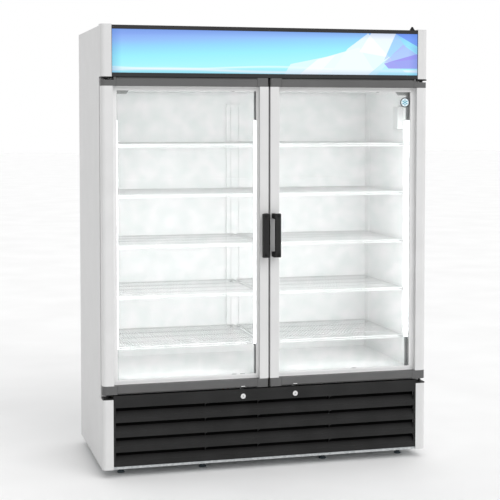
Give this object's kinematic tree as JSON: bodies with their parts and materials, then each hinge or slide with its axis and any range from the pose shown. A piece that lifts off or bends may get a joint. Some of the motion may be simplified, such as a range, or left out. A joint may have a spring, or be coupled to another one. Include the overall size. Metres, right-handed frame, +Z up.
{
  "type": "glass door merchandiser",
  "caption": "Tall refrigerated display cabinet with glass swing doors, wire shelves, a lit sign panel over the doors and a louvred grille below them.",
  "frame": {"origin": "on the floor, under the middle of the whole object", "axes": "+Z up, doors and handles face -Y, +X to the right of someone facing the doors"},
  "size_m": [1.53, 0.756, 2.024],
  "materials": {
    "white_coated_steel": "satin",
    "galvanised_steel": "satin",
    "white_liner": "satin",
    "insulation_foam": "matt",
    "copper_tube": "satin",
    "light_grey_plastic": "satin",
    "coated_wire": "gloss",
    "clip_steel": "satin",
    "lamp_lens": "gloss",
    "lamp_end_plastic": "matt",
    "dark_trim": "satin",
    "sign_film": "gloss",
    "black_plastic": "satin",
    "black_coated_steel": "satin",
    "bright_steel": "polished",
    "coil_aluminium": "satin",
    "compressor_black": "gloss",
    "silver_aluminium": "satin",
    "bead_plastic": "satin",
    "door_glass": "gloss",
    "gasket_rubber": "matt",
    "fan_plastic": "satin",
    "foot_plastic": "matt"
  },
  "bodies": {
    "cabinet": {"side_panel_left": "white_coated_steel", "side_panel_right": "white_coated_steel", "rear_panel": "galvanised_steel", "roof_panel": "white_coated_steel", "base_frame": "galvanised_steel", "inner_liner": "white_liner", "insulation_foam": "insulation_foam", "refrigerant_lines": "copper_tube", "face_frame": "white_liner", "centre_mullion": "white_liner", "shelf_pilasters": "white_liner", "rear_duct_cover": "white_liner", "ceiling_duct": "white_liner", "thermometer_cover": "light_grey_plastic", "shelf_pair_1": "coated_wire", "shelf_pair_2": "coated_wire", "shelf_pair_3": "coated_wire", "shelf_pair_4": "coated_wire", "shelf_pair_5": "coated_wire", "shelf_clips": "clip_steel", "led_lamps": "lamp_lens", "lamp_end_covers": "lamp_end_plastic", "corner_posts": "white_coated_steel", "sign_frame": "dark_trim", "sign_lens": "sign_film", "sign_tab": "black_plastic", "grille": "black_plastic", "hinge_brackets": "black_coated_steel", "hinge_pins": "black_coated_steel", "evaporator_fan_motors": "black_coated_steel", "evaporator_coil": "coil_aluminium", "compressor": "compressor_black", "condenser_coil": "coil_aluminium", "condenser_shroud": "black_coated_steel", "control_box": "light_grey_plastic"},
    "door_left": {"door_left_stiles": "silver_aluminium", "door_left_rails": "dark_trim", "door_left_glazing_bead": "bead_plastic", "door_left_glass": "door_glass", "door_left_gasket": "gasket_rubber", "door_left_handle": "black_plastic"},
    "lock_barrel_left": {"lock_barrel_left": "bright_steel"},
    "lock_bolt_left": {"lock_bolt_left": "bright_steel"},
    "evaporator_fan_left": {"evaporator_fan_left": "fan_plastic"},
    "door_right": {"door_right_stiles": "silver_aluminium", "door_right_rails": "dark_trim", "door_right_glazing_bead": "bead_plastic", "door_right_glass": "door_glass", "door_right_gasket": "gasket_rubber", "door_right_handle": "black_plastic"},
    "lock_barrel_right": {"lock_barrel_right": "bright_steel"},
    "lock_bolt_right": {"lock_bolt_right": "bright_steel"},
    "evaporator_fan_right": {"evaporator_fan_right": "fan_plastic"},
    "condenser_fan": {"condenser_fan": "fan_plastic"},
    "foot_front_left": {"foot_front_left": "foot_plastic"},
    "foot_front_right": {"foot_front_right": "foot_plastic"},
    "foot_inner_left": {"foot_inner_left": "foot_plastic"},
    "foot_inner_right": {"foot_inner_right": "foot_plastic"},
    "foot_rear_left": {"foot_rear_left": "foot_plastic"},
    "foot_rear_right": {"foot_rear_right": "foot_plastic"}
  },
  "joints": [
    {"name": "door_left_hinge", "type": "hinge", "parent": "cabinet", "child": "door_left", "pos_m": [-0.741, -0.31, 1.078], "axis": [0, 0, -1], "range_deg": [0, 105], "stiffness_Nm_per_rad": 1.5},
    {"name": "door_right_hinge", "type": "hinge", "parent": "cabinet", "child": "door_right", "pos_m": [0.741, -0.31, 1.078], "axis": [0, 0, 1], "range_deg": [0, 105], "stiffness_Nm_per_rad": 1.5},
    {"name": "lock_left_turn", "type": "hinge", "parent": "cabinet", "child": "lock_barrel_left", "pos_m": [-0.1235, -0.33, 0.339], "axis": [0, 1, 0], "range_deg": [0, 90]},
    {"name": "lock_left_bolt", "type": "slide", "parent": "cabinet", "child": "lock_bolt_left", "axis": [0, 0, 1], "range_m": [0, 0.009]},
    {"name": "lock_right_turn", "type": "hinge", "parent": "cabinet", "child": "lock_barrel_right", "pos_m": [0.1235, -0.33, 0.339], "axis": [0, 1, 0], "range_deg": [0, 90]},
    {"name": "lock_right_bolt", "type": "slide", "parent": "cabinet", "child": "lock_bolt_right", "axis": [0, 0, 1], "range_m": [0, 0.009]},
    {"name": "evaporator_fan_left_spin", "type": "hinge", "parent": "cabinet", "child": "evaporator_fan_left", "pos_m": [-0.35, -0.11, 1.7485], "axis": [0, 0, 1], "continuous": true},
    {"name": "evaporator_fan_right_spin", "type": "hinge", "parent": "cabinet", "child": "evaporator_fan_right", "pos_m": [0.35, -0.11, 1.7485], "axis": [0, 0, 1], "continuous": true},
    {"name": "condenser_fan_spin", "type": "hinge", "parent": "cabinet", "child": "condenser_fan", "pos_m": [0.33, -0.174, 0.20775], "axis": [0, 1, 0], "continuous": true},
    {"name": "foot_front_left_screw", "type": "slide", "parent": "cabinet", "child": "foot_front_left", "axis": [0, 0, -1], "range_m": [0, 0.02]},
    {"name": "foot_front_right_screw", "type": "slide", "parent": "cabinet", "child": "foot_front_right", "axis": [0, 0, -1], "range_m": [0, 0.02]},
    {"name": "foot_inner_left_screw", "type": "slide", "parent": "cabinet", "child": "foot_inner_left", "axis": [0, 0, -1], "range_m": [0, 0.02]},
    {"name": "foot_inner_right_screw", "type": "slide", "parent": "cabinet", "child": "foot_inner_right", "axis": [0, 0, -1], "range_m": [0, 0.02]},
    {"name": "foot_rear_left_screw", "type": "slide", "parent": "cabinet", "child": "foot_rear_left", "axis": [0, 0, -1], "range_m": [0, 0.02]},
    {"name": "foot_rear_right_screw", "type": "slide", "parent": "cabinet", "child": "foot_rear_right", "axis": [0, 0, -1], "range_m": [0, 0.02]}
  ],
  "couplings": [
    {"joint": "lock_left_turn", "follows": "lock_left_bolt", "rad_per_m": 174.53},
    {"joint": "lock_right_turn", "follows": "lock_right_bolt", "rad_per_m": 174.53}
  ]
}
